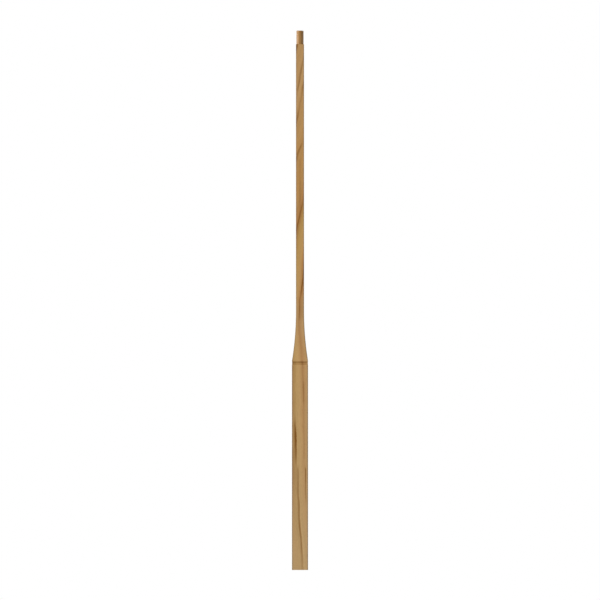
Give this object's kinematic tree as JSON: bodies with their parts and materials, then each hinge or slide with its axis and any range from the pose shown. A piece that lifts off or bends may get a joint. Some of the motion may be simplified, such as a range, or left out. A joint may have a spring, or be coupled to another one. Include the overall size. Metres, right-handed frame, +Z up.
{
  "type": "stair baluster",
  "caption": "Square wooden stair baluster: a plain foot block with a shallow groove across each face, a flare to a slim square shaft, and a round pin that fits the handrail.",
  "frame": {"origin": "middle of the square foot, where the baluster stands on the tread or the shoe rail", "axes": "+Z up along the stick to the pin, X and Y square to its faces"},
  "size_m": [0.0318, 0.0318, 1.0668],
  "materials": {
    "hardwood": "sanded, satin"
  },
  "bodies": {
    "root": {"baluster": "hardwood"}
  },
  "joints": []
}
